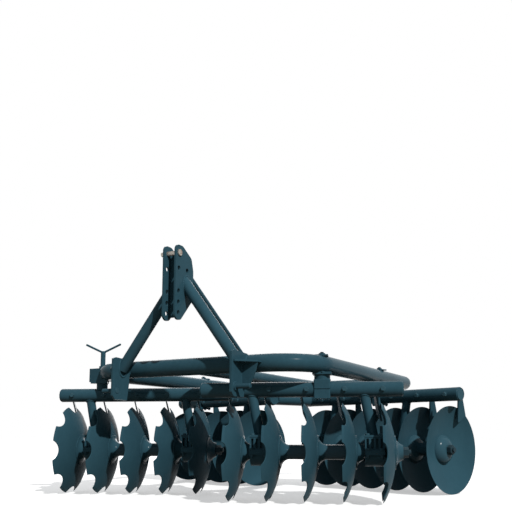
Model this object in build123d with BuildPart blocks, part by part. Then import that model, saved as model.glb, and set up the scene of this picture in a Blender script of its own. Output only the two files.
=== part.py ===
# Mounted disc harrow: four disc gangs under one closed tube frame
# Millimetres, +Z up, ground at Z = 0; the hitch faces -Y, so the machine's right side is at -X
from build123d import *
import os
from math import cos, radians, sqrt

os.makedirs("parts", exist_ok=True)


# Driving dimensions: overall layout
hitch_x = -152.4
front_tube_y = -936.0
frame_length = 2035.0
frame_half_width = 770.0
front_corner_r = 270.0
rear_corner_r = 180.0
frame_tube_r = 52.0
frame_over_beam = 145.0
spine_tube_r = 40.0

# Discs
disc_r = 280.0
disc_thickness = 5.0
disc_flat_r = 96.0
dish_sphere_r = 560.0
edge_bevel = 14.0
edge_land = 1.6
notch_count = 8
notch_r = 70.0
notch_depth = 42.0
disc_pitch = 215.0

# Gang shaft, spools and bearings
axle_side = 32.0
axle_hole_clearance = 0.3
spool_r = 42.0
bell_r = 94.0
bell_length = 46.0
dome_length = 44.0
bell_rim = 5.0
bell_waist_x = 17.0
bell_waist_r = 62.0
dome_waist_x = 26.0
dome_waist_r = 78.0
journal_r = 30.0
journal_clearance = 0.06
shoulder_gap = 5.0
end_nut_r = 31.0
end_nut_length = 30.0
thread_r = 15.0
thread_overhang = 14.0

# Bearing housings and their stems
housing_width = 108.0
housing_r = 78.0
housing_pad_half = 76.0
housing_pad_height = 84.0
housing_flange_half = 98.0
housing_flange_t = 13.0
rib_pocket_width = 13.0
rib_pocket_depth = 26.0
rib_pitch = 26.0
rib_pockets = 4
housing_wall = 8.0
stem_plate_t = 12.0
stem_plate_half_x = 50.0
stem_plate_half_y = 78.0
stem_r = 28.5
stem_foot_shift = -8.0
stem_head_shift = -58.0

# Gang beams
beam_r = 44.0
beam_over_discs = 31.0
beam_end_chamfer = 5.0

# Scrapers
scraper_t = 9.0
scraper_foot_t = 9.0
scraper_foot_width = 56.0
scraper_foot_half_z = 31.0

# Pivots between the frame and the beams
neck_r = 46.0
lock_neck_r = 36.0
clamp_half_y = 52.0
clamp_half_z = 54.0
clamp_split = 4.0
pivot_plate_half = 54.0
pivot_plate_t = 14.0
pivot_cap_half = 36.0
pivot_cap_t = 8.0
pivot_nut_r = 19.0
pivot_nut_h = 9.0

# Mast and hitch
mast_plate_t = 12.0
mast_gap = 70.0
mast_top_over_frame = 701.0
mast_height = 445.0
mast_front_from_tube = -215.0
top_hole_r = 14.0
top_pin_clearance = 0.4
top_pin_head_r = 19.0
top_pin_reach = 30.0
top_hole_from_tube = -182.0
top_pin_drop = 47.0
rear_hole_from_tube = -98.0
leg_r = 34.0
brace_r = 19.0
ear_x = 412.5
ear_t = 14.0
ear_front_from_tube = -201.0
ear_top_over_frame = 62.0
ear_height = 256.0
stud_r = 14.0
stud_reach = 96.0
stud_from_tube = -161.0
stud_under_frame = 139.0

# Lock handle on the front right pivot
post_r = 16.0
post_top_over_frame = 145.0
post_foot_r = 24.0
post_foot_h = 16.0
handle_bar_r = 7.0
handle_reach = 115.0
handle_rise = 54.0


on_base = (Align.CENTER, Align.CENTER, Align.MIN)
under_it = (Align.CENTER, Align.CENTER, Align.MAX)


# Dependent dimensions
def dish_drop(radius):
    """Distance from the flat of a disc to its spherical part at this radius."""
    flat = sqrt(dish_sphere_r ** 2 - disc_flat_r ** 2)
    return flat - sqrt(dish_sphere_r ** 2 - radius ** 2)


dish_depth = dish_drop(disc_r)
notch_centre_r = disc_r + notch_r - notch_depth
spool_length = disc_pitch - disc_thickness
journal_length = spool_length - 2 * bell_length
housing_centre = dish_depth + spool_length / 2
stem_foot_z = disc_r + housing_pad_height + stem_plate_t
beam_z = 2 * disc_r + beam_over_discs + beam_r
frame_z = beam_z + frame_over_beam
frame_bottom_z = frame_z - frame_tube_r
frame_top_z = frame_z + frame_tube_r
rear_tube_y = front_tube_y + frame_length
mast_top_z = frame_z + mast_top_over_frame
mast_bottom_z = mast_top_z - mast_height
top_pin_z = mast_top_z - top_pin_drop
top_pin_r = top_hole_r - top_pin_clearance
mast_inner_x = mast_gap / 2
mast_outer_x = mast_inner_x + mast_plate_t
ear_inner_x = ear_x - ear_t / 2
ear_outer_x = ear_x + ear_t / 2
top_hole_y = front_tube_y + top_hole_from_tube
ear_top_z = frame_z + ear_top_over_frame
ear_bottom_z = ear_top_z - ear_height
stud_y = front_tube_y + stud_from_tube
stud_z = frame_z - stud_under_frame
post_top_z = frame_z + post_top_over_frame

# Places of the discs on a gang, counted in pitches from its middle
five_discs = tuple(range(-2, 3))
six_discs = tuple(range(-3, 3))
bearing_after = (-2, 1)

# Gangs: name, side of the machine, middle of the disc edges inwards from the side rail and behind
# the front tube, turn of the gang, notched discs or plain, places of the discs, side the scrapers
# are on, start of a scraper's foot from its disc, beam beyond the first and last disc, half width
# of the clamp on the beam, and shift of the pivot along the beam from the middle of the rail
gang_columns = (
    "name", "side", "inset", "behind", "turn", "notched", "discs",
    "scraper_side", "foot_from", "beam_before", "beam_after", "clamp_half", "pivot_shift",
)
gang_rows = [
    ("front_right", -1, 226.0, 194.0, 20.0, True, five_discs, 1, -30.0, 82.0, 212.5, 0.0, 6.0),
    ("front_left", 1, 91.0, 194.0, 20.0, True, five_discs, 1, -30.0, 180.5, 121.5, 47.0, 0.0),
    ("rear_right", -1, 226.0, 1283.5, 160.0, False, five_discs, -1, -60.0, 180.5, 121.5, 38.0, 15.5),
    ("rear_left", 1, 71.0, 1283.5, 160.0, False, six_discs, -1, -30.0, 82.0, 212.5, 34.0, -5.0),
]
gangs = [dict(zip(gang_columns, row)) for row in gang_rows]

# Top link holes: name and distance below the top of the mast
top_holes = [("upper", 139.0), ("second", 275.0), ("third", 341.0), ("lowest", 403.0)]


# Closed frame ring with the spine tube inside it, right half mirrored from the left
hitch_plane = Plane.YZ.offset(hitch_x)
left_rail_x = hitch_x + frame_half_width
rail_middle_y = front_tube_y + frame_length / 2
with BuildPart() as frame_ring:
    with BuildLine(Plane.XY.offset(frame_z)):
        FilletPolyline(
            (hitch_x, front_tube_y),
            (left_rail_x, front_tube_y),
            (left_rail_x, rail_middle_y),
            radius=front_corner_r,
        )
        FilletPolyline(
            (left_rail_x, rail_middle_y),
            (left_rail_x, rear_tube_y),
            (hitch_x, rear_tube_y),
            radius=rear_corner_r,
        )
    with BuildSketch(Plane(origin=(hitch_x, front_tube_y, frame_z), z_dir=(1, 0, 0))):
        Circle(frame_tube_r)
    sweep()
    mirror(about=hitch_plane)
    with BuildSketch(Plane(origin=(hitch_x, front_tube_y, frame_z), z_dir=(0, 1, 0))):
        Circle(spine_tube_r)
    extrude(amount=frame_length)
frame_ring.part.label = "frame_ring"
export_step(frame_ring.part, "parts/frame_ring.step")


# Mast: two side plates with the row of top link holes, joined by a web
# Outline of a plate: distance from the front tube and below the top of the mast
mast_outline = [
    (mast_front_from_tube, mast_height),
    (mast_front_from_tube, 0.0),
    (-146.0, 0.0),
    (-54.0, 57.0),
    (-34.0, 131.0),
    (-34.0, 306.0),
    (-160.0, mast_height),
]
mast_corner_r = 33.0
mast_web_from_tube = -144.0
mast_web_t = 8.0
mast_web_inset = 22.0
mast_web_height = mast_height - 2 * mast_web_inset
rear_hole_y = front_tube_y + rear_hole_from_tube
rear_hole_z = mast_top_z - top_holes[0][1]
with BuildPart() as mast:
    with BuildSketch(Plane.YZ.offset(hitch_x + mast_inner_x)):
        with BuildLine():
            Polyline(*[(front_tube_y + y, mast_top_z - drop) for y, drop in mast_outline], close=True)
        make_face()
        fillet(vertices(), radius=mast_corner_r)
        with Locations(*[(top_hole_y, mast_top_z - drop) for name, drop in top_holes]):
            Circle(top_hole_r, mode=Mode.SUBTRACT)
        with Locations((top_hole_y, top_pin_z), (rear_hole_y, rear_hole_z)):
            Circle(top_hole_r, mode=Mode.SUBTRACT)
    extrude(amount=mast_plate_t)
    mirror(about=hitch_plane)
    with Locations((hitch_x, front_tube_y + mast_web_from_tube, mast_bottom_z + mast_web_inset)):
        Box(mast_gap, mast_web_t, mast_web_height, align=on_base)
mast.part.label = "mast"
export_step(mast.part, "parts/mast.step")


# Mast legs: sloping tubes from the side plates down to the hitch ears
leg_top_from_tube = -102.0
leg_top_drop = 165.0
leg_bottom_from_tube = -112.0
leg_bottom_under_frame = 7.5
leg_top = Vector(hitch_x, front_tube_y + leg_top_from_tube, mast_top_z - leg_top_drop)
leg_bottom = Vector(
    hitch_x + ear_x,
    front_tube_y + leg_bottom_from_tube,
    frame_z - leg_bottom_under_frame,
)
leg_run = leg_bottom - leg_top
with BuildPart() as mast_legs:
    with BuildSketch(Plane(origin=leg_top, z_dir=leg_run)):
        Circle(leg_r)
    extrude(amount=leg_run.length)
    split(bisect_by=Plane.YZ.offset(hitch_x + mast_outer_x), keep=Keep.TOP)
    split(bisect_by=Plane.YZ.offset(hitch_x + ear_inner_x), keep=Keep.BOTTOM)
    mirror(about=hitch_plane)
mast_legs.part.label = "mast_legs"
export_step(mast_legs.part, "parts/mast_legs.step")


# Rear brace: from the mast web down to the spine tube
brace_top_drop = 70.0
brace_reach = 857.0
brace_top = Vector(hitch_x, front_tube_y + mast_web_from_tube, mast_top_z - brace_top_drop)
brace_bottom = Vector(hitch_x, front_tube_y + brace_reach, frame_z)
brace_run = brace_bottom - brace_top
web_back_y = front_tube_y + mast_web_from_tube + mast_web_t / 2
with BuildPart() as mast_brace:
    with BuildSketch(Plane(origin=brace_top, z_dir=brace_run)):
        Circle(brace_r)
    extrude(amount=brace_run.length)
    split(bisect_by=Plane.XZ.offset(-web_back_y), keep=Keep.BOTTOM)
    add(frame_ring.part, mode=Mode.SUBTRACT)
mast_brace.part.label = "mast_brace"
export_step(mast_brace.part, "parts/mast_brace.step")


# Hitch ears: upright plates on the front tube, each with a cross gusset and a top shelf
# Outlines: an ear by distance from the front tube and below its top, the gusset outwards from the
# ear and below the shelf, and the shelf outwards from the ear and in front of the tube
ear_corner = 24.0
ear_top_slope = 9.0
ear_outline = [
    (ear_front_from_tube + ear_corner, ear_height),
    (ear_front_from_tube, ear_height - ear_corner),
    (ear_front_from_tube, ear_top_slope),
    (ear_front_from_tube + ear_corner, 0.0),
    (-25.0, ear_top_slope),
    (-25.0, 62.0),
    (-50.0, 112.0),
    (-50.0, 152.0),
    (-66.0, ear_height),
]
gusset_from_tube = -82.0
gusset_t = 10.0
gusset_outline = [(0.0, 0.0), (100.0, 0.0), (86.0, 50.0), (56.0, 118.0), (0.0, 134.0)]
shelf_under_frame = 2.5
shelf_outline = [(0.0, 0.0), (0.0, -187.0), (12.0, -187.0), (104.0, -94.0), (104.0, 0.0)]
shelf_z = frame_z - shelf_under_frame
with BuildPart() as hitch_ears:
    with BuildSketch(Plane.YZ.offset(hitch_x + ear_inner_x)):
        with BuildLine():
            Polyline(*[(front_tube_y + y, ear_top_z - drop) for y, drop in ear_outline], close=True)
        make_face()
    extrude(amount=ear_t)
    with BuildSketch(Plane.XZ.offset(-(front_tube_y + gusset_from_tube))):
        with BuildLine():
            Polyline(*[(hitch_x + ear_outer_x + x, shelf_z - drop) for x, drop in gusset_outline], close=True)
        make_face()
    extrude(amount=gusset_t)
    with BuildSketch(Plane.XY.offset(shelf_z)):
        with BuildLine():
            Polyline(*[(hitch_x + ear_outer_x + x, front_tube_y + y) for x, y in shelf_outline], close=True)
        make_face()
    extrude(amount=gusset_t)
    add(frame_ring.part, mode=Mode.SUBTRACT)
    mirror(about=hitch_plane)
hitch_ears.part.label = "hitch_ears"
export_step(hitch_ears.part, "parts/hitch_ears.step")


# Lower hitch studs: one on the outside of each ear, with a collar and a linch pin hole
stud_collar_r = 24.0
stud_collar_t = 8.0
linch_hole_r = 5.5
linch_hole_inset = 14.0
with BuildPart() as hitch_studs:
    with Locations(Plane(origin=(hitch_x + ear_outer_x, stud_y, stud_z), z_dir=(1, 0, 0))):
        Cylinder(stud_r, stud_reach, align=on_base)
        Cylinder(stud_collar_r, stud_collar_t, align=on_base)
    with Locations((hitch_x + ear_outer_x + stud_reach - linch_hole_inset, stud_y, stud_z)):
        Cylinder(linch_hole_r, 3 * stud_r, mode=Mode.SUBTRACT)
    chamfer(faces().sort_by(Axis.X)[-1].edges(), length=3.0)
    mirror(about=hitch_plane)
hitch_studs.part.label = "hitch_studs"
export_step(hitch_studs.part, "parts/hitch_studs.step")


# Top link pin: in the highest pair of mast holes
pin_head_t = 8.0
with BuildPart() as top_link_pin:
    pin_tip_x = hitch_x - mast_outer_x - top_pin_reach
    with Locations(Plane(origin=(pin_tip_x, top_hole_y, top_pin_z), z_dir=(1, 0, 0))):
        Cylinder(top_pin_r, 2 * mast_outer_x + top_pin_reach + pin_head_t, align=on_base)
    with Locations(Plane(origin=(hitch_x + mast_outer_x, top_hole_y, top_pin_z), z_dir=(1, 0, 0))):
        Cylinder(top_pin_head_r, pin_head_t, align=on_base)
top_link_pin.part.label = "top_link_pin"
export_step(top_link_pin.part, "parts/top_link_pin.step")


# Pivot places: where each gang beam crosses under a side rail of the frame
def pivot_step(gang):
    """Distance along the gang from its middle to its pivot."""
    return gang["side"] * gang["inset"] / cos(radians(gang["turn"])) + gang["pivot_shift"]


def gang_place(gang):
    """Where a gang's own frame stands: X along its shaft, towards the backs of the discs."""
    gang_x = hitch_x + gang["side"] * (frame_half_width - gang["inset"])
    return Location((gang_x, front_tube_y + gang["behind"], 0), (0, 0, gang["turn"]))


lock_gang = gangs[0]
bolted_gangs = gangs[1:]
pivot_places = [gang_place(gang) * Pos(pivot_step(gang), 0, 0) for gang in bolted_gangs]
lock_place = gang_place(lock_gang) * Pos(pivot_step(lock_gang), 0, 0)
lock_at = lock_place.position

# Pivot heads: a plate under the rail with a round neck down to the beam clamp
pivot_bite = 5.0
clamp_top_z = beam_z + clamp_half_z
pivot_plate_bottom_z = frame_bottom_z + pivot_bite - pivot_plate_t
with BuildPart() as pivot_heads:
    with Locations(*pivot_places):
        with Locations((0, 0, pivot_plate_bottom_z)):
            Box(2 * pivot_plate_half, 2 * pivot_plate_half, pivot_plate_t, align=on_base)
        with Locations((0, 0, clamp_top_z)):
            Cylinder(neck_r, pivot_plate_bottom_z - clamp_top_z, align=on_base)
    add(frame_ring.part, mode=Mode.SUBTRACT)
pivot_heads.part.label = "pivot_heads"
export_step(pivot_heads.part, "parts/pivot_heads.step")


# Pivot caps: plate and bolt head on top of the rail
with BuildPart() as pivot_caps:
    with Locations(*pivot_places):
        with Locations((0, 0, frame_top_z - pivot_bite)):
            Box(2 * pivot_cap_half, 2 * pivot_cap_half, pivot_cap_t, align=on_base)
    with BuildSketch(Plane.XY.offset(frame_top_z - pivot_bite + pivot_cap_t)):
        with Locations(*pivot_places):
            RegularPolygon(pivot_nut_r, 6)
    extrude(amount=pivot_nut_h)
    add(frame_ring.part, mode=Mode.SUBTRACT)
pivot_caps.part.label = "pivot_caps"
export_step(pivot_caps.part, "parts/pivot_caps.step")


# Lock bracket: box on the outside of the frame's front right bend, over the fourth pivot
lock_box_out = 76.0
lock_box_in = 78.0
lock_box_half_y = 42.0
lock_box_under_frame = 58.0
lock_box_height = 89.0
lock_plate_t = 10.0
lock_plate_inset = 12.0
lock_plate_width = 132.0
lock_box_z = frame_z - lock_box_under_frame
lock_top_z = lock_box_z + lock_box_height
lock_neck_gap = 2.0
lock_neck_length = lock_box_z - lock_plate_t - beam_z - scraper_foot_half_z - lock_neck_gap
from_outside = (Align.MIN, Align.CENTER, Align.MIN)
with BuildPart() as lock_bracket:
    with Locations((lock_at.X, lock_at.Y, lock_box_z)):
        with Locations((-lock_box_out, 0, 0)):
            Box(lock_box_out + lock_box_in, 2 * lock_box_half_y, lock_box_height, align=from_outside)
        with Locations((-lock_box_out + lock_plate_inset, 0, -lock_plate_t)):
            Box(lock_plate_width, 2 * lock_box_half_y, lock_plate_t, align=from_outside)
        with Locations((0, 0, -lock_plate_t)):
            Cylinder(lock_neck_r, lock_neck_length, align=under_it)
    with Locations((hitch_x - frame_half_width + front_corner_r, front_tube_y + front_corner_r, frame_z)):
        Cylinder(front_corner_r, 2 * lock_box_height, mode=Mode.SUBTRACT)
    with Locations(gang_place(lock_gang) * Location((0, 0, beam_z), (0, 90, 0))):
        Cylinder(beam_r, frame_length, mode=Mode.SUBTRACT)
    add(frame_ring.part, mode=Mode.SUBTRACT)
lock_bracket.part.label = "lock_bracket"
export_step(lock_bracket.part, "parts/lock_bracket.step")


# Lock handle: post on the bracket with two slanting bars across its top
with BuildPart() as lock_handle:
    with Locations(gang_place(lock_gang) * Pos(pivot_step(lock_gang), 0, lock_top_z)):
        Cylinder(post_r, post_top_z - lock_top_z, align=on_base)
        Cylinder(post_foot_r, post_foot_h, align=on_base)
    add(frame_ring.part, mode=Mode.SUBTRACT)
    for side in (-1, 1):
        bar_run = Vector(side * handle_reach, 0, handle_rise)
        with Locations(gang_place(lock_gang) * Pos(pivot_step(lock_gang), 0, post_top_z - handle_bar_r)):
            with Locations(Plane(origin=(0, 0, 0), z_dir=bar_run)):
                Cylinder(handle_bar_r, bar_run.length, align=on_base)
lock_handle.part.label = "lock_handle"
export_step(lock_handle.part, "parts/lock_handle.step")


# Beam clamps: two half blocks around each beam under its pivot
clamp_half_height = clamp_half_z - clamp_split / 2
clamp_middle = (clamp_half_z + clamp_split / 2) / 2
clamp_corner_r = 8.0
for clamp_name, side in (("upper", 1), ("lower", -1)):
    with BuildPart() as clamps:
        for gang, place in zip(bolted_gangs, pivot_places):
            with Locations(place * Pos(0, 0, beam_z + side * clamp_middle)):
                Box(2 * gang["clamp_half"], 2 * clamp_half_y, clamp_half_height)
        fillet(edges().filter_by(Axis.Z), radius=clamp_corner_r)
        for place in pivot_places:
            with Locations(place * Location((0, 0, beam_z), (0, 90, 0))):
                Cylinder(beam_r, 4 * clamp_half_y, mode=Mode.SUBTRACT)
    clamps.part.label = f"{clamp_name}_clamps"
    export_step(clamps.part, f"parts/{clamp_name}_clamps.step")


# Disc blank: hollow towards -X, bulged towards +X, rim plane of the bulged face at X = 0
def dish_point(radius, depth=0.0):
    """Point on the bulged face at this radius, or that far below it."""
    return (dish_depth - dish_drop(radius) - depth, radius)


axle_hole_side = axle_side + 2 * axle_hole_clearance
disc_middle_r = (disc_flat_r + disc_r) / 2
bevel_start_r = disc_r - edge_bevel
with BuildPart() as plain_disc:
    with BuildSketch():
        with BuildLine():
            Line((dish_depth - disc_thickness, 0), (dish_depth, 0))
            Line((dish_depth, 0), dish_point(disc_flat_r))
            ThreePointArc(dish_point(disc_flat_r), dish_point(disc_middle_r), dish_point(bevel_start_r))
            Line(dish_point(bevel_start_r), dish_point(disc_r, disc_thickness - edge_land))
            Line(dish_point(disc_r, disc_thickness - edge_land), dish_point(disc_r, disc_thickness))
            ThreePointArc(
                dish_point(disc_r, disc_thickness),
                dish_point(disc_middle_r, disc_thickness),
                dish_point(disc_flat_r, disc_thickness),
            )
            Line(dish_point(disc_flat_r, disc_thickness), (dish_depth - disc_thickness, 0))
        make_face()
    revolve(axis=Axis.X)
    with Locations((dish_depth, 0, 0)):
        Box(4 * disc_thickness, axle_hole_side, axle_hole_side, mode=Mode.SUBTRACT)

# Notched disc: the same blank with round bites out of its edge
with BuildPart() as notched_disc:
    add(plain_disc.part)
    with BuildSketch(Plane.YZ.offset(-disc_thickness)):
        with PolarLocations(notch_centre_r, notch_count):
            Circle(notch_r)
    extrude(amount=dish_depth + disc_thickness, mode=Mode.SUBTRACT)


# Spool ends: a bell on the back of one disc and a dome in the hollow of the next
with BuildPart() as bell:
    with BuildSketch():
        with BuildLine():
            Line((0, 0), (0, bell_r))
            Line((0, bell_r), (bell_rim, bell_r))
            ThreePointArc((bell_rim, bell_r), (bell_waist_x, bell_waist_r), (bell_length, spool_r))
            Line((bell_length, spool_r), (bell_length, 0))
            Line((bell_length, 0), (0, 0))
        make_face()
    revolve(axis=Axis.X)
    with Locations((bell_length / 2, 0, 0)):
        Box(2 * bell_length, axle_hole_side, axle_hole_side, mode=Mode.SUBTRACT)

with BuildPart() as dome:
    with BuildSketch():
        with BuildLine():
            Line((0, 0), (0, bell_r))
            ThreePointArc((0, bell_r), (-dome_waist_x, dome_waist_r), (-dome_length, spool_r))
            Line((-dome_length, spool_r), (-dome_length, 0))
            Line((-dome_length, 0), (0, 0))
        make_face()
    revolve(axis=Axis.X)
    with Locations((-dome_length / 2, 0, 0)):
        Box(2 * dome_length, axle_hole_side, axle_hole_side, mode=Mode.SUBTRACT)

# Spools between two discs, plain or turned down to a bearing journal
spool_parts = {}
for spool_name, middle_r in (("plain", spool_r), ("bearing", journal_r)):
    with BuildPart() as spool:
        add(bell.part)
        with Locations((spool_length, 0, 0)):
            add(dome.part)
        with BuildSketch(Plane.YZ.offset(bell_length)):
            Circle(middle_r)
            Rectangle(axle_hole_side, axle_hole_side, mode=Mode.SUBTRACT)
        extrude(amount=spool_length - bell_length - dome_length)
    spool_parts[spool_name] = spool.part


# Bearing housing, upper half: pad, split flange and pockets between the ribs
housing_bore_r = journal_r + journal_clearance
pocket_height = housing_pad_height - housing_flange_t - 2 * housing_wall
with BuildPart() as housing_upper:
    with BuildSketch(Plane.YZ.offset(-housing_width / 2)):
        Circle(housing_r)
        with Locations((0, housing_pad_height)):
            Rectangle(2 * housing_pad_half, housing_pad_height, align=(Align.CENTER, Align.MAX))
        with Locations((0, housing_flange_t)):
            Rectangle(2 * housing_flange_half, housing_flange_t, align=(Align.CENTER, Align.MAX))
        with Locations((0, 0)):
            Rectangle(4 * housing_r, 2 * housing_r, align=(Align.CENTER, Align.MAX), mode=Mode.SUBTRACT)
        Circle(housing_bore_r, mode=Mode.SUBTRACT)
    extrude(amount=housing_width)
    for side in (-1, 1):
        with Locations((0, side * housing_r, housing_flange_t + housing_wall)):
            with GridLocations(rib_pitch, 0, rib_pockets, 1):
                Box(
                    rib_pocket_width, 2 * rib_pocket_depth, pocket_height,
                    align=on_base, mode=Mode.SUBTRACT,
                )

# Bearing housing, lower half: round cap with the other split flange
with BuildPart() as housing_lower:
    with BuildSketch(Plane.YZ.offset(-housing_width / 2)):
        Circle(housing_r)
        Rectangle(2 * housing_flange_half, 2 * housing_flange_t)
        Rectangle(4 * housing_r, 2 * housing_r, align=(Align.CENTER, Align.MIN), mode=Mode.SUBTRACT)
        Circle(housing_bore_r, mode=Mode.SUBTRACT)
    extrude(amount=housing_width)


# Stem: top plate of a housing and the leaning tube up to the beam
stem_run = Vector(stem_head_shift - stem_foot_shift, 0, beam_z - stem_foot_z)
with BuildPart() as stem:
    with Locations((stem_foot_shift, 0, stem_foot_z)):
        Box(2 * stem_plate_half_x, 2 * stem_plate_half_y, stem_plate_t, align=under_it)
    with BuildSketch(Plane(origin=(stem_foot_shift, 0, stem_foot_z), z_dir=stem_run)):
        Circle(stem_r)
    extrude(amount=stem_run.length)
    with Locations(Location((0, 0, beam_z), (0, 90, 0))):
        Cylinder(beam_r, 2 * disc_pitch, mode=Mode.SUBTRACT)


# Scraper: bent plate hanging from the beam, its lower edge close to the hollow of a disc; outline
# by distance from the beam's middle, sideways and down
scraper_outline = [
    (-52.5, -16.0),
    (-78.0, -4.0),
    (-94.0, 38.0),
    (-141.0, 136.0),
    (-87.0, 187.0),
    (-57.0, 44.0),
    (-52.5, 24.0),
]
scraper_face_drop = 39.0
scraper_face = Plane(origin=(-31.0, -95.0, beam_z - scraper_face_drop), z_dir=(0.929, -0.225, 0.238))
scraper_corner_r = 7.0
with BuildPart() as scraper:
    with BuildSketch(Plane.YZ.offset(-disc_pitch / 2)):
        with BuildLine():
            Polyline(*[(y, beam_z - drop) for y, drop in scraper_outline], close=True)
        make_face()
        fillet(vertices().sort_by(Axis.X)[:4], radius=scraper_corner_r)
    extrude(amount=disc_pitch)
    with Locations(scraper_face):
        Box(2 * disc_pitch, 2 * disc_pitch, scraper_t, align=under_it, mode=Mode.INTERSECT)

scraper_parts = {-1: scraper.part, 1: mirror(scraper.part, about=Plane.XZ, mode=Mode.PRIVATE)}


# The four gangs: discs, spools, shaft, bearings, stems, beam and scrapers of each
for gang in gangs:
    name = gang["name"]
    place = gang_place(gang)
    shaft_place = place * Pos(0, 0, disc_r)
    disc_steps = gang["discs"]
    first_x = disc_steps[0] * disc_pitch
    last_x = disc_steps[-1] * disc_pitch
    bearing_steps = [step * disc_pitch + housing_centre for step in bearing_after]
    bearing_places = [shaft_place * Pos(step, 0, 0) for step in bearing_steps]

    with BuildPart() as discs:
        with Locations(*[shaft_place * Pos(step * disc_pitch, 0, 0) for step in disc_steps]):
            add(notched_disc.part if gang["notched"] else plain_disc.part)
    discs.part.label = f"{name}_discs"
    export_step(discs.part, f"parts/{name}_discs.step")

    with BuildPart() as spools:
        for step in disc_steps:
            with Locations(shaft_place * Pos(step * disc_pitch + dish_depth, 0, 0)):
                if step == disc_steps[-1]:
                    add(bell.part)
                else:
                    add(spool_parts["bearing" if step in bearing_after else "plain"])
        with Locations(shaft_place * Pos(first_x + dish_depth - disc_thickness, 0, 0)):
            add(dome.part)
    spools.part.label = f"{name}_spools"
    export_step(spools.part, f"parts/{name}_spools.step")

    stack_from = first_x + dish_depth - disc_thickness - dome_length
    stack_to = last_x + dish_depth + bell_length
    with BuildPart() as axle:
        with Locations(shaft_place * Location((stack_from, 0, 0), (0, 90, 0))):
            Box(axle_side, axle_side, stack_to - stack_from, align=on_base)
        for end_x, outwards in ((stack_from, -1), (stack_to, 1)):
            end_place = shaft_place * Location((end_x, 0, 0), (0, 90 * outwards, 0))
            with BuildSketch(Plane(end_place)):
                RegularPolygon(end_nut_r, 6)
            extrude(amount=end_nut_length)
            with Locations(end_place):
                Cylinder(thread_r, end_nut_length + thread_overhang, align=on_base)
    axle.part.label = f"{name}_axle"
    export_step(axle.part, f"parts/{name}_axle.step")

    with BuildPart() as bearings_upper:
        with Locations(*bearing_places):
            add(housing_upper.part)
    bearings_upper.part.label = f"{name}_bearings"
    export_step(bearings_upper.part, f"parts/{name}_bearings.step")

    with BuildPart() as bearings_lower:
        with Locations(*bearing_places):
            add(housing_lower.part)
    bearings_lower.part.label = f"{name}_bearing_caps"
    export_step(bearings_lower.part, f"parts/{name}_bearing_caps.step")

    with BuildPart() as stems:
        with Locations(*[spot * Pos(0, 0, -disc_r) for spot in bearing_places]):
            add(stem.part)
    stems.part.label = f"{name}_stems"
    export_step(stems.part, f"parts/{name}_stems.step")

    beam_from = first_x - gang["beam_before"]
    beam_to = last_x + gang["beam_after"]
    with BuildPart() as beam:
        with Locations(place * Location((beam_from, 0, beam_z), (0, 90, 0))):
            Cylinder(beam_r, beam_to - beam_from, align=on_base)
        chamfer(edges().filter_by(GeomType.CIRCLE), length=beam_end_chamfer)
    beam.part.label = f"{name}_beam"
    export_step(beam.part, f"parts/{name}_beam.step")

    with BuildPart() as scrapers:
        with Locations(*[place * Pos(step * disc_pitch, 0, 0) for step in disc_steps]):
            add(scraper_parts[gang["scraper_side"]])
        foot_y = gang["scraper_side"] * (beam_r + scraper_foot_t / 2)
        foot_x = gang["foot_from"] + scraper_foot_width / 2
        with Locations(*[place * Pos(step * disc_pitch + foot_x, foot_y, beam_z) for step in disc_steps]):
            Box(scraper_foot_width, scraper_foot_t, 2 * scraper_foot_half_z)
    scrapers.part.label = f"{name}_scrapers"
    export_step(scrapers.part, f"parts/{name}_scrapers.step")


# Rear link tube: joins the inner ends of the two rear gang beams
link_r = 42.0
link_insets = {"rear_right": -575.0, "rear_left": 590.0}
link_ends = [
    (gang_place(gang) * Pos(link_insets[gang["name"]], 0, beam_z)).position
    for gang in gangs if gang["name"] in link_insets
]
link_run = link_ends[1] - link_ends[0]
with BuildPart() as rear_link:
    with BuildSketch(Plane(origin=link_ends[0], z_dir=link_run)):
        Circle(link_r)
    extrude(amount=link_run.length)
    for gang in gangs[2:]:
        with Locations(gang_place(gang) * Location((0, 0, beam_z), (0, 90, 0))):
            Cylinder(beam_r, frame_length, mode=Mode.SUBTRACT)
rear_link.part.label = "rear_link"
export_step(rear_link.part, "parts/rear_link.step")
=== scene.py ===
# Dressed scene of the mounted disc harrow: materials, fasteners, weld beads, light and camera
import bpy
import bmesh
import math
from mathutils import Matrix, Vector


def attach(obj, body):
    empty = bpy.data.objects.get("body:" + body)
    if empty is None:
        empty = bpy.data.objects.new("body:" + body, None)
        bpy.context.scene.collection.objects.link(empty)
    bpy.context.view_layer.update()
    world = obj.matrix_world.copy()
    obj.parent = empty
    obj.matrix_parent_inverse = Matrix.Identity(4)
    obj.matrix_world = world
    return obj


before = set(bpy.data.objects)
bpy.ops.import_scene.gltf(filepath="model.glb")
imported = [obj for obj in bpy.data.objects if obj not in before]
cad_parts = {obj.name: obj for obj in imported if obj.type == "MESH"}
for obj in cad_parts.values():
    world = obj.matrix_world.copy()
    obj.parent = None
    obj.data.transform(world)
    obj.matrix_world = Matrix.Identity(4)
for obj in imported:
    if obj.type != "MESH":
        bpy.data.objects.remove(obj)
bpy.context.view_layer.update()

# Places and sizes in metres, from the part's source: frame
HITCH_X = -0.1524
FRONT_Y = -0.936
FRAME_LENGTH = 2.035
REAR_Y = FRONT_Y + FRAME_LENGTH
HALF_WIDTH = 0.77
FRONT_CORNER_R = 0.27
TUBE_R = 0.052
SPINE_R = 0.040

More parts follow.
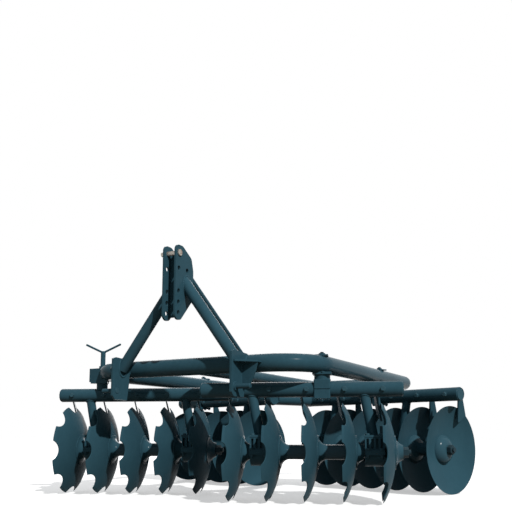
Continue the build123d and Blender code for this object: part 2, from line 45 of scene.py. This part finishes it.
# Discs, spools, stems and beams
DISC_R = 0.28
DISC_T = 0.005
FLAT_R = 0.096
SPHERE_R = 0.56
PITCH = 0.215
BELL_L = 0.046
DOME_L = 0.044
BEAM_R = 0.044
BEAM_Z = 2 * DISC_R + 0.031 + BEAM_R
FRAME_Z = BEAM_Z + 0.145
PAD_HEIGHT = 0.084
STEM_PLATE_T = 0.012
STEM_R = 0.0285
STEM_FOOT = Vector((-0.008, 0, DISC_R + PAD_HEIGHT + STEM_PLATE_T))
STEM_HEAD = Vector((-0.058, 0, BEAM_Z))
FLANGE_T = 0.013
SCRAPER_FOOT_T = 0.009
LINK_R = 0.042
LINK_RIGHT_X = -0.575
LINK_LEFT_X = 0.590

# Pivots under the rails
NECK_R = 0.046
CLAMP_HALF_Z = 0.054
PIVOT_BITE = 0.005
PIVOT_PLATE_T = 0.014
PIVOT_CAP_T = 0.008
PIVOT_NUT_H = 0.009

# Mast, legs, brace and hitch ears
MAST_TOP = FRAME_Z + 0.701
MAST_HEIGHT = 0.445
MAST_INNER = 0.035
MAST_OUTER = 0.047
LEG_R = 0.034
BRACE_R = 0.019
WEB_FROM_TUBE = 0.144
WEB_HALF_T = 0.004
EAR_X = 0.4125
EAR_T = 0.014
EAR_OUTER = EAR_X + EAR_T / 2
EAR_INNER = EAR_X - EAR_T / 2
SHELF_Z = FRAME_Z - 0.0025
SHELF_T = 0.010
GUSSET_FACES = (-0.082, -0.092)
STUD_Y = FRONT_Y - 0.161
STUD_Z = FRAME_Z - 0.139
STUD_COLLAR_R = 0.024

# Lock on the front right pivot
LOCK_LOW, LOCK_TOP = FRAME_Z - 0.058, FRAME_Z + 0.031
LOCK_HALF_Y = 0.042
LOCK_PLATE_T = 0.010
LOCK_NECK_R = 0.036
POST_TOP = FRAME_Z + 0.145
HANDLE_REACH = 0.115
HANDLE_RISE = 0.054
HANDLE_R = 0.007

# Gangs, as in the part's source
GANG_COLUMNS = ("name", "side", "inset", "behind", "turn", "discs",
                "scraper_side", "foot_from", "before", "after", "clamp", "shift")
FIVE = tuple(range(-2, 3))
SIX = tuple(range(-3, 3))
GANG_ROWS = [
    ("front_right", -1, 0.226, 0.194, 20, FIVE, 1, -0.030, 0.0820, 0.2125, 0.0, 0.006),
    ("front_left", 1, 0.091, 0.194, 20, FIVE, 1, -0.030, 0.1805, 0.1215, 0.047, 0.0),
    ("rear_right", -1, 0.226, 1.2835, 160, FIVE, -1, -0.060, 0.1805, 0.1215, 0.038, 0.0155),
    ("rear_left", 1, 0.071, 1.2835, 160, SIX, -1, -0.030, 0.0820, 0.2125, 0.034, -0.005),
]
GANGS = [dict(zip(GANG_COLUMNS, row)) for row in GANG_ROWS]
LOCK_GANG = GANGS[0]
REAR_RIGHT, REAR_LEFT = GANGS[2:]
BEARING_AFTER = (-2, 1)

# Small pieces: places of the fasteners, thread diameters, and radii of the weld beads
STEM_BOLT, FLANGE_BOLT, SCRAPER_BOLT, CLAMP_BOLT = 0.012, 0.014, 0.016, 0.009
HOUSING_BOLT_X = 0.039
STEM_BOLT_Y = 0.062
FLANGE_BOLT_Y = 0.0875
SCRAPER_BOLT_FROM_FOOT = 0.038
CLAMP_BOLT_INSET = 0.011
CLAMP_BOLT_Y = 0.0415
PIVOT_THREAD_R, PIVOT_THREAD_L = 0.011, 0.007
PLATE_WELD_HALF = 0.056
CAP_WELD_HALF = 0.037
END_CAP_R = 0.0385
STUD_END_R, STUD_END_T, STUD_END_WELD_R = 0.0138, 0.003, 0.0150
BEAD_R = {
    "end_cap": 0.0022, "stem": 0.0045, "pivot": 0.0035, "link": 0.004, "leg": 0.005,
    "brace": 0.004, "spine": 0.0045, "web": 0.003, "ear": 0.0048, "shelf": 0.003,
    "collar": 0.0035, "stud_end": 0.0028, "lock": 0.004, "lock_neck": 0.003,
}

# Shares of a thread's diameter
WASHER_R, WASHER_T = 1.05, 0.16
ACROSS_FLATS = 1.55
HEAD_H, NUT_H = 0.62, 0.8


def dish_drop(r):
    """Distance from the flat of a disc to its dish at this radius."""
    flat = math.sqrt(SPHERE_R ** 2 - FLAT_R ** 2)
    return flat - math.sqrt(SPHERE_R ** 2 - r * r)


DISH = dish_drop(DISC_R)
HOUSING = DISH + (PITCH - DISC_T) / 2


def at(x, y, z):
    return Matrix.Translation((x, y, z))


def towards(point, direction):
    """A frame at the point with its Z along the direction."""
    turn = Vector(direction).to_track_quat("Z", "Y").to_matrix().to_4x4()
    return Matrix.Translation(point) @ turn


def place_of(gang):
    """The gang's own frame: X along its shaft, towards the backs of the discs."""
    x = HITCH_X + gang["side"] * (HALF_WIDTH - gang["inset"])
    turn = Matrix.Rotation(math.radians(gang["turn"]), 4, "Z")
    return Matrix.Translation((x, FRONT_Y + gang["behind"], 0)) @ turn


def pivot_frame(gang):
    """The gang's own frame, moved along it to the pivot."""
    turn = math.cos(math.radians(gang["turn"]))
    return place_of(gang) @ at(gang["side"] * gang["inset"] / turn + gang["shift"], 0, 0)


def disc_ends(gang):
    """Places of the first and of the last disc along the gang."""
    return gang["discs"][0] * PITCH, gang["discs"][-1] * PITCH


def add_object(name, data):
    obj = bpy.data.objects.new(name, data)
    bpy.context.scene.collection.objects.link(obj)
    return obj


# Materials
DUST = (0.20, 0.20, 0.18)
DUST_SHARE = 0.10
# Painted shade: a dark brown mixed onto faces turned downwards, in place of shade and bounce from
# the ground
DOWNWARD_SHADE = (0.060, 0.038, 0.022)
DOWNWARD_SHADE_SHARE = 0.35
RUST = ((0.075, 0.030, 0.014), (0.16, 0.072, 0.034))
PIN_RUST = ((0.13, 0.055, 0.026), (0.26, 0.13, 0.065))


def noise(tree, coords, scale, detail, rough, distortion=0.0):
    made = tree.nodes.new("ShaderNodeTexNoise")
    made.inputs["Scale"].default_value = scale
    made.inputs["Detail"].default_value = detail
    made.inputs["Roughness"].default_value = rough
    made.inputs["Distortion"].default_value = distortion
    tree.links.new(coords, made.inputs["Vector"])
    return made.outputs["Fac"]


def ramp(tree, value, low, high, a=0.0, b=1.0):
    """Map low to a and high to b."""
    made = tree.nodes.new("ShaderNodeMapRange")
    made.inputs["From Min"].default_value = low
    made.inputs["From Max"].default_value = high
    made.inputs["To Min"].default_value = a
    made.inputs["To Max"].default_value = b
    tree.links.new(value, made.inputs["Value"])
    return made.outputs["Result"]


def feed(tree, socket, value):
    """Set a socket to a number or a colour, or link it to another socket."""
    if isinstance(value, (int, float)):
        socket.default_value = value
    elif isinstance(value, tuple):
        socket.default_value = (*value, 1.0)
    else:
        tree.links.new(value, socket)


def calc(tree, what, a, b):
    made = tree.nodes.new("ShaderNodeMath")
    made.operation = what
    for socket, value in zip(made.inputs, (a, b)):
        feed(tree, socket, value)
    return made.outputs[0]


def times(tree, a, b):
    return calc(tree, "MULTIPLY", a, b)


def mix(tree, fac, a, b):
    made = tree.nodes.new("ShaderNodeMix")
    made.data_type = "RGBA"
    for socket, value in ((made.inputs[0], fac), (made.inputs[6], a), (made.inputs[7], b)):
        feed(tree, socket, value)
    return made.outputs[2]


def lighter(color, share):
    return tuple(c * share for c in color)


def new_look(name):
    """A material, its tree, its shader and the object's coordinates."""
    mat = bpy.data.materials.new(name)
    mat.use_nodes = True
    tree = mat.node_tree
    where = tree.nodes.new("ShaderNodeTexCoord").outputs["Object"]
    return mat, tree, tree.nodes["Principled BSDF"], where


def relief(tree, shader, height, strength, distance, normal=None):
    """Bump on the shader, over rounded edges where their normal is given."""
    made = tree.nodes.new("ShaderNodeBump")
    made.inputs["Strength"].default_value = strength
    made.inputs["Distance"].default_value = distance
    tree.links.new(height, made.inputs["Height"])
    if normal:
        tree.links.new(normal, made.inputs["Normal"])
    tree.links.new(made.outputs["Normal"], shader.inputs["Normal"])


def paint(name, light, dark, wear, rough, bump=0.10, edge=0.0016, patchy=0.20, gloss=0.15):
    """Painted steel: uneven coat, worn edges and spots, dust on top, painted brown shade on faces
    turned downwards.
    """
    mat, tree, shader, where = new_look(name)
    geometry = tree.nodes.new("ShaderNodeNewGeometry")
    broad = noise(tree, where, 3.1, 3.0, 0.5, 0.4)
    fine = noise(tree, where, 46.0, 5.0, 0.65)
    spots = noise(tree, where, 17.0, 6.0, 0.72, 0.8)
    coat = mix(tree, ramp(tree, broad, 0.32, 0.68), dark, light)
    coat = mix(tree, ramp(tree, fine, 0.40, 0.75, 0.0, patchy), coat, lighter(light, 1.5))
    split = tree.nodes.new("ShaderNodeSeparateXYZ")
    tree.links.new(geometry.outputs["Normal"], split.inputs[0])
    up = ramp(tree, split.outputs["Z"], 0.45, 1.0, 0.0, DUST_SHARE)
    settled = times(tree, up, ramp(tree, fine, 0.32, 0.70))
    coat = mix(tree, settled, coat, DUST)
    # Painted shade: darker brown in patches on faces turned downwards
    below = ramp(tree, split.outputs["Z"], -0.35, -0.95, 0.0, DOWNWARD_SHADE_SHARE)
    below = times(tree, below, ramp(tree, spots, 0.30, 0.62))
    coat = mix(tree, below, coat, DOWNWARD_SHADE)
    worn = ramp(tree, spots, 0.72 - wear, 0.78 - wear)
    rounded_normal = None
    if edge:
        rounded = tree.nodes.new("ShaderNodeBevel")
        rounded.samples = 4
        rounded.inputs["Radius"].default_value = edge
        rounded_normal = rounded.outputs[0]
        turn = tree.nodes.new("ShaderNodeVectorMath")
        turn.operation = "DOT_PRODUCT"
        tree.links.new(rounded_normal, turn.inputs[0])
        tree.links.new(geometry.outputs["Normal"], turn.inputs[1])
        rim = ramp(tree, turn.outputs["Value"], 0.96, 0.86, 0.0, 0.8)
        rim = times(tree, rim, ramp(tree, spots, 0.46, 0.60, 0.0, 0.75))
        coat = mix(tree, rim, coat, lighter(light, 2.2))
    rust = mix(tree, ramp(tree, fine, 0.4, 0.7), *RUST)
    tree.links.new(mix(tree, worn, coat, rust), shader.inputs["Base Color"])
    tone = ramp(tree, fine, 0.2, 0.8, rough - 0.03, rough + 0.06)
    tone = calc(tree, "ADD", tone, times(tree, worn, 0.35))
    tone = calc(tree, "ADD", tone, times(tree, settled, 0.6))
    tree.links.new(tone, shader.inputs["Roughness"])
    shader.inputs["IOR"].default_value = 1.2
    shader.inputs["Specular IOR Level"].default_value = gloss
    height = calc(tree, "SUBTRACT", noise(tree, where, 26.0, 3.0, 0.5), times(tree, worn, 0.4))
    relief(tree, shader, height, bump, 0.002, rounded_normal)
    return mat


def bare(name, light, dark, rusty, rough=0.40, metallic=0.85):
    """Bare steel with a film of rust."""
    mat, tree, shader, where = new_look(name)
    broad = noise(tree, where, 38.0, 5.0, 0.65, 0.5)
    fine = noise(tree, where, 210.0, 4.0, 0.6)
    film = ramp(tree, broad, 0.66 - rusty * 0.3, 0.80 - rusty * 0.3)
    steel = mix(tree, fine, dark, light)
    rust = mix(tree, fine, *PIN_RUST)
    tree.links.new(mix(tree, film, steel, rust), shader.inputs["Base Color"])
    tree.links.new(ramp(tree, film, 0.0, 1.0, metallic, 0.1), shader.inputs["Metallic"])
    tone = ramp(tree, broad, 0.2, 0.8, rough - 0.08, rough + 0.25)
    tree.links.new(tone, shader.inputs["Roughness"])
    relief(tree, shader, fine, 0.2, 0.0015)
    return mat


LIGHT = (0.030, 0.083, 0.113)
DARK = (0.023, 0.066, 0.091)
frame_paint = paint("frame_paint", LIGHT, DARK, 0.0, 0.21, bump=0.02, gloss=0.13)
disc_paint = paint("disc_paint", LIGHT, DARK, 0.004, 0.36, bump=0.015, edge=0.0012,
                   patchy=0.10, gloss=0.06)
spool_paint = paint("spool_paint", LIGHT, DARK, 0.0, 0.15, bump=0.05, edge=0.0025,
                    patchy=0.12, gloss=0.25)
cast_paint = paint("cast_paint", LIGHT, DARK, 0.02, 0.40, bump=0.45, edge=0.0030)
weld_paint = paint("weld_paint", LIGHT, DARK, 0.05, 0.36, bump=0.3, edge=0.0)
bolt_paint = paint("bolt_paint", (0.042, 0.100, 0.130), (0.026, 0.070, 0.095), 0.03, 0.30,
                   edge=0.0008)
pin_steel = bare("pin_steel", (0.50, 0.47, 0.42), (0.30, 0.275, 0.24), 0.45)
dark_steel = paint("dark_steel", (0.024, 0.050, 0.064), (0.014, 0.030, 0.040), 0.06, 0.38,
                   edge=0.0008)

LOOKS = (("top_link_pin", pin_steel), ("_discs", disc_paint), ("_bearings", cast_paint),
         ("_bearing_caps", cast_paint), ("_spools", spool_paint), ("_axle", dark_steel))
for name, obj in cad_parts.items():
    obj.data.materials.clear()
    look = frame_paint
    for ending, material in LOOKS:
        if name.endswith(ending):
            look = material
    obj.data.materials.append(look)


# Meshes of the small pieces
def turned(mesh, place, profile, sides, smooth=True, start=0.0):
    """Revolve a profile of (radius, height) about the place's Z."""
    rows = []
    for radius, height in profile:
        if radius < 1e-6:
            rows.append([mesh.verts.new(place @ Vector((0, 0, height)))])
            continue
        rows.append([
            mesh.verts.new(place @ Vector((
                radius * math.cos(start + 2 * math.pi * k / sides),
                radius * math.sin(start + 2 * math.pi * k / sides),
                height,
            )))
            for k in range(sides)
        ])
    for low, high in zip(rows, rows[1:]):
        for k in range(sides):
            a, b = low[k % len(low)], low[(k + 1) % len(low)]
            c, d = high[(k + 1) % len(high)], high[k % len(high)]
            corners = list(dict.fromkeys((a, b, c, d)))
            if len(corners) > 2:
                mesh.faces.new(corners).smooth = smooth


def washer(mesh, place, radius, thick):
    edge = thick * 0.3
    profile = [(0, 0), (radius, 0), (radius, thick - edge), (radius - edge, thick), (0, thick)]
    turned(mesh, place, profile, 24, False)


def hexagon(mesh, place, across, height, spin):
    corner = across / math.sqrt(3)
    profile = [(0, 0), (corner, 0), (corner, height * 0.82), (corner * 0.90, height), (0, height)]
    turned(mesh, place, profile, 6, False, spin)


def thread(mesh, place, radius, length, pitch=0.002):
    count = max(2, int(length / pitch))
    profile = [(0, 0)]
    for k in range(count):
        profile.append((radius, length * k / count))
        profile.append((radius * 0.88, length * (k + 0.5) / count))
    profile += [(radius * 0.9, length), (0, length)]
    turned(mesh, place, profile, 16)


def bolt(mesh, place, size, spin):
    """Washer and hexagon head; size is the thread's diameter, spin turns the head."""
    thick = size * WASHER_T
    washer(mesh, place, size * WASHER_R, thick)
    hexagon(mesh, place @ at(0, 0, thick), size * ACROSS_FLATS, size * HEAD_H, spin)


def nut(mesh, place, size, spin):
    """Washer, hexagon nut and the end of the thread."""
    thick = size * WASHER_T
    washer(mesh, place, size * WASHER_R, thick)
    hexagon(mesh, place @ at(0, 0, thick), size * ACROSS_FLATS, size * NUT_H, spin)
    thread(mesh, place @ at(0, 0, thick + size * NUT_H), size / 2, size / 2)


def finish_piece(mesh, name, body, material):
    data = bpy.data.meshes.new(name)
    bmesh.ops.recalc_face_normals(mesh, faces=mesh.faces)
    mesh.to_mesh(data)
    mesh.free()
    obj = add_object(name, data)
    data.materials.append(material)
    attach(obj, body)


# Weld beads, all in one mesh
BEAD_STEP = 0.004
BEAD_SIDES = 6
CIRCLE = 48
# A direction that no bead runs along, so that it gives each one a side
SKEW = Vector((0.31, 0.17, 0.94))
welds = bmesh.new()


def weld(kind, points, closed=False):
    """A ripply round strip along the points."""
    radius = BEAD_R[kind]
    points = [Vector(p) for p in points]
    if closed:
        points = points + [points[0]]
    path = [points[0]]
    for a, b in zip(points, points[1:]):
        count = max(1, round((b - a).length / BEAD_STEP))
        path += [a.lerp(b, k / count) for k in range(1, count + 1)]
    if closed:
        path = path[:-1]
    rows = []
    total = len(path)
    for k, point in enumerate(path):
        before = path[(k - 1) % total] if closed or k else path[0]
        after = path[(k + 1) % total] if closed or k < total - 1 else path[-1]
        along = (after - before).normalized()
        side = along.cross(SKEW).normalized()
        other = along.cross(side)
        size = radius * (1.0 + 0.16 * (k % 2) + 0.10 * math.sin(k * 1.7))
        turns = [2 * math.pi * j / BEAD_SIDES for j in range(BEAD_SIDES)]
        rows.append([
            welds.verts.new(point + size * (math.cos(turn) * side + math.sin(turn) * other))
            for turn in turns
        ])
    for low, high in zip(rows, rows[1:] + rows[:1] if closed else rows[1:]):
        for j in range(BEAD_SIDES):
            after = (j + 1) % BEAD_SIDES
            welds.faces.new((low[j], low[after], high[after], high[j])).smooth = True
    if not closed:
        welds.faces.new(rows[0])
        welds.faces.new(rows[-1])


def ring(place, radius, z=0.0, count=CIRCLE):
    """Points on a circle about the place's Z, at this height over it."""
    turns = [a * math.pi / (count // 2) for a in range(count)]
    return [place @ Vector((radius * math.cos(turn), radius * math.sin(turn), z))
            for turn in turns]


def tube_lines(start, direction, radius):
    """Lines along the skin of a round tube."""
    along = Vector(direction).normalized()
    side = along.orthogonal().normalized()
    other = along.cross(side)
    for k in range(CIRCLE):
        turn = 2 * math.pi * k / CIRCLE
        yield Vector(start) + radius * (math.cos(turn) * side + math.sin(turn) * other), along


def on_plane(start, direction, radius, point, normal):
    """Where a round tube meets a plane."""
    normal = Vector(normal)
    return [p + d * ((Vector(point) - p).dot(normal) / d.dot(normal))
            for p, d in tube_lines(start, direction, radius)]


def on_tube(start, direction, radius, centre, axis, big, ahead=-1):
    """Where a round tube meets the skin of another: its near side, or with ahead 1 the far one."""
    axis = Vector(axis).normalized()
    out = []
    for p, d in tube_lines(start, direction, radius):
        w = p - Vector(centre)
        w = w - axis * w.dot(axis)
        v = d - axis * d.dot(axis)
        a, b, c = v.dot(v), 2 * w.dot(v), w.dot(w) - big * big
        root = math.sqrt(max(b * b - 4 * a * c, 0.0))
        out.append(p + d * ((-b + ahead * root) / (2 * a)))
    return out


bolts = bmesh.new()
ends = bmesh.new()

# Beams, stems, bearings, scrapers and clamps of each gang
for gang in GANGS:
    place = place_of(gang)
    first, last = disc_ends(gang)
    side = gang["scraper_side"]
    for x, outwards in ((first - gang["before"], -1), (last + gang["after"], 1)):
        face = place @ towards((x, 0, BEAM_Z), (outwards, 0, 0))
        weld("end_cap", ring(face, END_CAP_R), True)
    for step in BEARING_AFTER:
        spot = place @ at(step * PITCH + HOUSING, 0, 0)
        stem = (STEM_FOOT, STEM_HEAD - STEM_FOOT, STEM_R)
        head_line = on_tube(*stem, (0, 0, BEAM_Z), (1, 0, 0), BEAM_R)
        foot_line = on_plane(*stem, STEM_FOOT, (0, 0, 1))
        for line in (head_line, foot_line):
            weld("stem", [spot @ p for p in line], True)
        for x in (-HOUSING_BOLT_X, HOUSING_BOLT_X):
            for y in (-STEM_BOLT_Y, STEM_BOLT_Y):
                bolt(bolts, spot @ at(x, y, STEM_FOOT.z), STEM_BOLT, x + y)
            for y in (-FLANGE_BOLT_Y, FLANGE_BOLT_Y):
                under = towards((x, y, DISC_R - FLANGE_T), (0, 0, -1))
                bolt(bolts, spot @ at(x, y, DISC_R + FLANGE_T), FLANGE_BOLT, x * 9)
                nut(bolts, spot @ under, FLANGE_BOLT, y * 9)
    for step in gang["discs"]:
        x = step * PITCH + gang["foot_from"] + SCRAPER_BOLT_FROM_FOOT
        head = towards((x, -side * (BEAM_R - 0.001), BEAM_Z), (0, -side, 0))
        tail = towards((x, side * (BEAM_R + SCRAPER_FOOT_T), BEAM_Z), (0, side, 0))
        bolt(bolts, place @ head, SCRAPER_BOLT, step)
        nut(bolts, place @ tail, SCRAPER_BOLT, step * 2)
    if gang is LOCK_GANG:
        continue
    pivot = pivot_frame(gang)
    half = gang["clamp"]
    for x in (-half + CLAMP_BOLT_INSET, half - CLAMP_BOLT_INSET):
        for y in (-CLAMP_BOLT_Y, CLAMP_BOLT_Y):
            under = towards((x, y, BEAM_Z - CLAMP_HALF_Z), (0, 0, -1))
            bolt(bolts, pivot @ under, CLAMP_BOLT, x * 50)
    plate_low = FRAME_Z - TUBE_R + PIVOT_BITE - PIVOT_PLATE_T
    cap_low = FRAME_Z + TUBE_R - PIVOT_BITE
    for z in (BEAM_Z + CLAMP_HALF_Z, plate_low):
        weld("pivot", ring(pivot, NECK_R, z), True)
    rail_x = HITCH_X + gang["side"] * HALF_WIDTH
    middle = pivot.translation
    for z, reach in ((plate_low + PIVOT_PLATE_T, PLATE_WELD_HALF), (cap_low, CAP_WELD_HALF)):
        off = math.sqrt(TUBE_R ** 2 - (z - FRAME_Z) ** 2)
        for s in (-1, 1):
            x = rail_x + s * off
            weld("pivot", [(x, middle.y - reach, z), (x, middle.y + reach, z)])
    nut_top = pivot @ at(0, 0, cap_low + PIVOT_CAP_T + PIVOT_NUT_H)
    thread(ends, nut_top, PIVOT_THREAD_R, PIVOT_THREAD_L)

# Link tube between the rear beams
link_right = (place_of(REAR_RIGHT) @ at(LINK_RIGHT_X, 0, BEAM_Z)).translation
link_left = (place_of(REAR_LEFT) @ at(LINK_LEFT_X, 0, BEAM_Z)).translation
for a, b, gang in ((link_left, link_right, REAR_RIGHT), (link_right, link_left, REAR_LEFT)):
    axis = place_of(gang).to_3x3() @ Vector((1, 0, 0))
    weld("link", on_tube(a, b - a, LINK_R, b, axis, BEAM_R), True)

# Mast legs, brace, spine and web
leg_top = Vector((HITCH_X, FRONT_Y - 0.102, MAST_TOP - 0.165))
for s in (-1, 1):
    leg_low = Vector((HITCH_X + s * EAR_X, FRONT_Y - 0.112, FRAME_Z - 0.0075))
    for x in (MAST_OUTER, EAR_INNER):
        plane = (HITCH_X + s * x, 0, 0), (1, 0, 0)
        weld("leg", on_plane(leg_top, leg_low - leg_top, LEG_R, *plane), True)
web_y = FRONT_Y - WEB_FROM_TUBE + WEB_HALF_T
brace_top = Vector((HITCH_X, FRONT_Y - WEB_FROM_TUBE, MAST_TOP - 0.070))
brace_low = Vector((HITCH_X, FRONT_Y + 0.857, FRAME_Z))
brace = (brace_top, brace_low - brace_top, BRACE_R)
weld("brace", on_plane(*brace, (0, web_y, 0), (0, 1, 0)), True)
weld("brace", on_tube(*brace, brace_low, (0, 1, 0), SPINE_R), True)
for y, away in ((FRONT_Y, 1), (REAR_Y, -1)):
    end = (HITCH_X, y, FRAME_Z)
    weld("spine", on_tube(end, (0, away, 0), SPINE_R, end, (1, 0, 0), TUBE_R, 1), True)
for s in (-1, 1):
    x = HITCH_X + s * MAST_INNER
    for from_tube in (-0.148, -0.140):
        y = FRONT_Y + from_tube
        weld("web", [(x, y, MAST_TOP - 0.024), (x, y, MAST_TOP - MAST_HEIGHT + 0.024)])

# Hitch ears on the front tube, with their gussets, shelves and studs
SEAT_FROM, SEAT_TURN, SEAT_STEPS = 119, 98, 24
Z_ALONG_X = Matrix(((0, 0, 1), (1, 0, 0), (0, 1, 0))).to_4x4()
for s in (-1, 1):
    seat = []
    for k in range(SEAT_STEPS + 1):
        turn = math.radians(SEAT_FROM + k * SEAT_TURN / SEAT_STEPS)
        seat.append((FRONT_Y + TUBE_R * math.cos(turn), FRAME_Z + TUBE_R * math.sin(turn)))
    for x in (EAR_INNER, EAR_OUTER):
        weld("ear", [(HITCH_X + s * x, y, z) for y, z in seat])
    outer = HITCH_X + s * EAR_OUTER
    for z in (SHELF_Z, SHELF_Z + SHELF_T):
        weld("shelf", [(outer, FRONT_Y - 0.183, z), (outer, FRONT_Y - 0.053, z)])
    for from_tube in GUSSET_FACES:
        y = FRONT_Y + from_tube
        weld("shelf", [(outer, y, SHELF_Z - 0.002), (outer, y, SHELF_Z - 0.132)])
        weld("shelf", [(outer, y, SHELF_Z), (outer + s * 0.098, y, SHELF_Z)])
    weld("collar", ring(at(outer, STUD_Y, STUD_Z) @ Z_ALONG_X, STUD_COLLAR_R, count=40), True)
    stud_end = towards((HITCH_X + s * EAR_INNER, STUD_Y, STUD_Z), (-s, 0, 0))
    washer(bolts, stud_end, STUD_END_R, STUD_END_T)
    weld("stud_end", ring(stud_end, STUD_END_WELD_R, count=32), True)

# Lock bracket on the front right bend, its post and its handle
lock_frame = pivot_frame(LOCK_GANG)
lock = lock_frame.translation
bend = Vector((HITCH_X - HALF_WIDTH + FRONT_CORNER_R, FRONT_Y + FRONT_CORNER_R, FRAME_Z))


def on_bend(y, z):
    """Point on the outer skin of the bend."""
    reach = FRONT_CORNER_R + math.sqrt(max(TUBE_R ** 2 - (z - FRAME_Z) ** 2, 0.0))
    return (bend.x - math.sqrt(reach ** 2 - (y - bend.y) ** 2), y, z)


SIDE_FROM = 0.006
SIDE_STEPS, TOP_STEPS = 24, 16
for y in (lock.y - LOCK_HALF_Y, lock.y + LOCK_HALF_Y):
    weld("lock", [
        on_bend(y, LOCK_LOW + SIDE_FROM + (LOCK_TOP - LOCK_LOW - SIDE_FROM) * k / SIDE_STEPS)
        for k in range(SIDE_STEPS + 1)
    ])
weld("lock", [on_bend(lock.y - LOCK_HALF_Y + 2 * LOCK_HALF_Y * k / TOP_STEPS, LOCK_TOP)
              for k in range(TOP_STEPS + 1)])
weld("lock_neck", ring(at(*lock), LOCK_NECK_R, LOCK_LOW - LOCK_PLATE_T, 40), True)

POST_CAP = [(0.0160, -0.002), (0.0150, 0.001), (0.011, 0.004), (0, 0.005)]
knobs = bmesh.new()
for s in (-1, 1):
    tip = lock_frame @ at(s * HANDLE_REACH, 0, POST_TOP - HANDLE_R + HANDLE_RISE)
    bmesh.ops.create_uvsphere(knobs, u_segments=16, v_segments=10, radius=0.0072, matrix=tip)
turned(knobs, lock_frame @ at(0, 0, POST_TOP), POST_CAP, 24)
for face in knobs.faces:
    face.smooth = True

finish_piece(welds, "weld_beads", "frame", weld_paint)
finish_piece(bolts, "frame_bolts", "frame", bolt_paint)
finish_piece(ends, "bolt_ends", "frame", dark_steel)
finish_piece(knobs, "handle_tips", "frame", frame_paint)

# Ends of the gang shafts: chamfered face of the end nut, and the thread
END_NUT_L = 0.030
NUT_FACE = [(0.0262, -0.0008), (0.0262, 0.0006), (0.0240, 0.0016), (0.015, 0.0016)]
for gang in GANGS:
    place = place_of(gang) @ at(0, 0, DISC_R)
    first, last = disc_ends(gang)
    mesh = bmesh.new()
    for x, s in ((first + DISH - DISC_T - DOME_L, -1), (last + DISH + BELL_L, 1)):
        nut_end = place @ towards((x, 0, 0), (s, 0, 0)) @ at(0, 0, END_NUT_L)
        thread(mesh, nut_end, 0.0152, 0.0138, 0.0025)
        turned(mesh, nut_end, NUT_FACE, 36)
    finish_piece(mesh, gang["name"] + "_shaft_ends", gang["name"] + "_gang", dark_steel)


# Camera
AZIMUTH = 27.441
PITCH_UP = 7.584
camera = bpy.data.cameras.new("camera")
camera.lens = 47.326
camera.sensor_width = 36.0
camera.shift_x = -0.0267
camera.shift_y = 0.17
camera.clip_end = 60.0
eye = add_object("camera", camera)
bpy.context.scene.camera = eye
eye.location = (2.1295, -4.2760, 0.3893)
eye.rotation_euler = (math.radians(90 + PITCH_UP), 0, math.radians(AZIMUTH))


# Floor and backdrop: white where they are seen, dim where they only light the part
def shading(tree, kind, color, strength=None):
    made = tree.nodes.new(kind)
    made.inputs["Color"].default_value = (*color, 1)
    if strength is not None:
        made.inputs["Strength"].default_value = strength
    return made


def by_ray(tree, seen, other, output):
    """Show one shader to camera, glossy and transmission rays, and another to the rest."""
    ray = tree.nodes.new("ShaderNodeLightPath")
    fac = calc(tree, "MAXIMUM", ray.outputs["Is Camera Ray"], ray.outputs["Is Glossy Ray"])
    fac = calc(tree, "MAXIMUM", fac, ray.outputs["Is Transmission Ray"])
    switch = tree.nodes.new("ShaderNodeMixShader")
    tree.links.new(fac, switch.inputs[0])
    tree.links.new(other.outputs[0], switch.inputs[1])
    tree.links.new(seen.outputs[0], switch.inputs[2])
    tree.links.new(switch.outputs[0], tree.nodes.new(output).inputs[0])


FLOOR_SIZE = 30
floor_mesh = bpy.data.meshes.new("floor")
maker = bmesh.new()
bmesh.ops.create_grid(maker, x_segments=1, y_segments=1, size=FLOOR_SIZE)
maker.to_mesh(floor_mesh)
maker.free()
floor = add_object("floor", floor_mesh)

floor_look = bpy.data.materials.new("floor_look")
floor_look.use_nodes = True
tree = floor_look.node_tree
tree.nodes.clear()
pale = shading(tree, "ShaderNodeBsdfDiffuse", (0.75, 0.75, 0.75))
glow = shading(tree, "ShaderNodeEmission", (1, 1, 1), 0.465)
white = tree.nodes.new("ShaderNodeAddShader")
tree.links.new(pale.outputs[0], white.inputs[0])
tree.links.new(glow.outputs[0], white.inputs[1])
ground = shading(tree, "ShaderNodeBsdfDiffuse", (0.26, 0.21, 0.16))
by_ray(tree, white, ground, "ShaderNodeOutputMaterial")
floor_mesh.materials.append(floor_look)

world = bpy.data.worlds.new("world")
bpy.context.scene.world = world
world.use_nodes = True
tree = world.node_tree
tree.nodes.clear()
backdrop = shading(tree, "ShaderNodeBackground", (1, 1, 1), 1.0)
sky = shading(tree, "ShaderNodeBackground", (0.92, 0.96, 1.0), 0.28)
by_ray(tree, backdrop, sky, "ShaderNodeOutputWorld")


# Lights
SUN_FROM = Vector((1.085, -0.678, 1.0))


def lamp(name, kind, energy, where, target):
    data = bpy.data.lights.new(name, kind)
    data.energy = energy
    obj = add_object(name, data)
    obj.location = where
    obj.rotation_euler = (Vector(target) - Vector(where)).to_track_quat("-Z", "Y").to_euler()
    return data


sun = lamp("sun", "SUN", 3.1, SUN_FROM * 6, (0, 0, 0))
sun.angle = math.radians(1.5)
sun.color = (1.0, 0.985, 0.96)
back_fill = lamp("back_fill", "AREA", 190, (-4.2, 5.2, 3.4), (0, 0, 0.5))
back_fill.size = 5.0
bpy.context.scene.view_settings.view_transform = "Standard"
